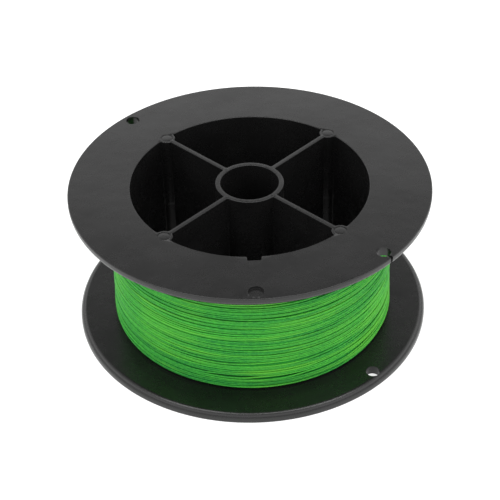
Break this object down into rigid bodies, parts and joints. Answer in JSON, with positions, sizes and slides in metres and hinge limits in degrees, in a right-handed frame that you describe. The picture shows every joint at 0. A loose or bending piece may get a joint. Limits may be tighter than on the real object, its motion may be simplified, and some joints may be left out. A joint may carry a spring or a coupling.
{
  "type": "fishing line spool",
  "caption": "Round two-part spool with wide flanges, an open ribbed middle and a hub bore, wound full with green fishing line.",
  "frame": {"origin": "centre of the outer face of the lower flange, on the surface that the spool stands on", "axes": "+Z along the spool's axis, up through the spindle bore; +X and +Y lie in the lower flange's outer face, with the clipped line hole of the upper flange between +X and -Y"},
  "size_m": [0.13, 0.13, 0.056],
  "materials": {
    "shell": "black moulded plastic, satin, faint flow marks",
    "pins": "black moulded plastic, satin",
    "tape": "cream cloth tape",
    "line": "bright green braided line, waxy sheen"
  },
  "bodies": {
    "root": {"lower_flange": "shell", "upper_flange": "shell", "lower_barrel": "shell", "upper_barrel": "shell", "lower_hub": "shell", "upper_hub": "shell", "lower_rib_1": "shell", "lower_rib_2": "shell", "lower_rib_3": "shell", "lower_rib_4": "shell", "upper_rib_1": "shell", "upper_rib_2": "shell", "upper_rib_3": "shell", "upper_rib_4": "shell", "joining_pin_1": "pins", "joining_pin_2": "pins", "joining_pin_3": "pins", "joining_pin_4": "pins", "arbor_tape": "tape", "line_winding": "line"}
  },
  "joints": []
}
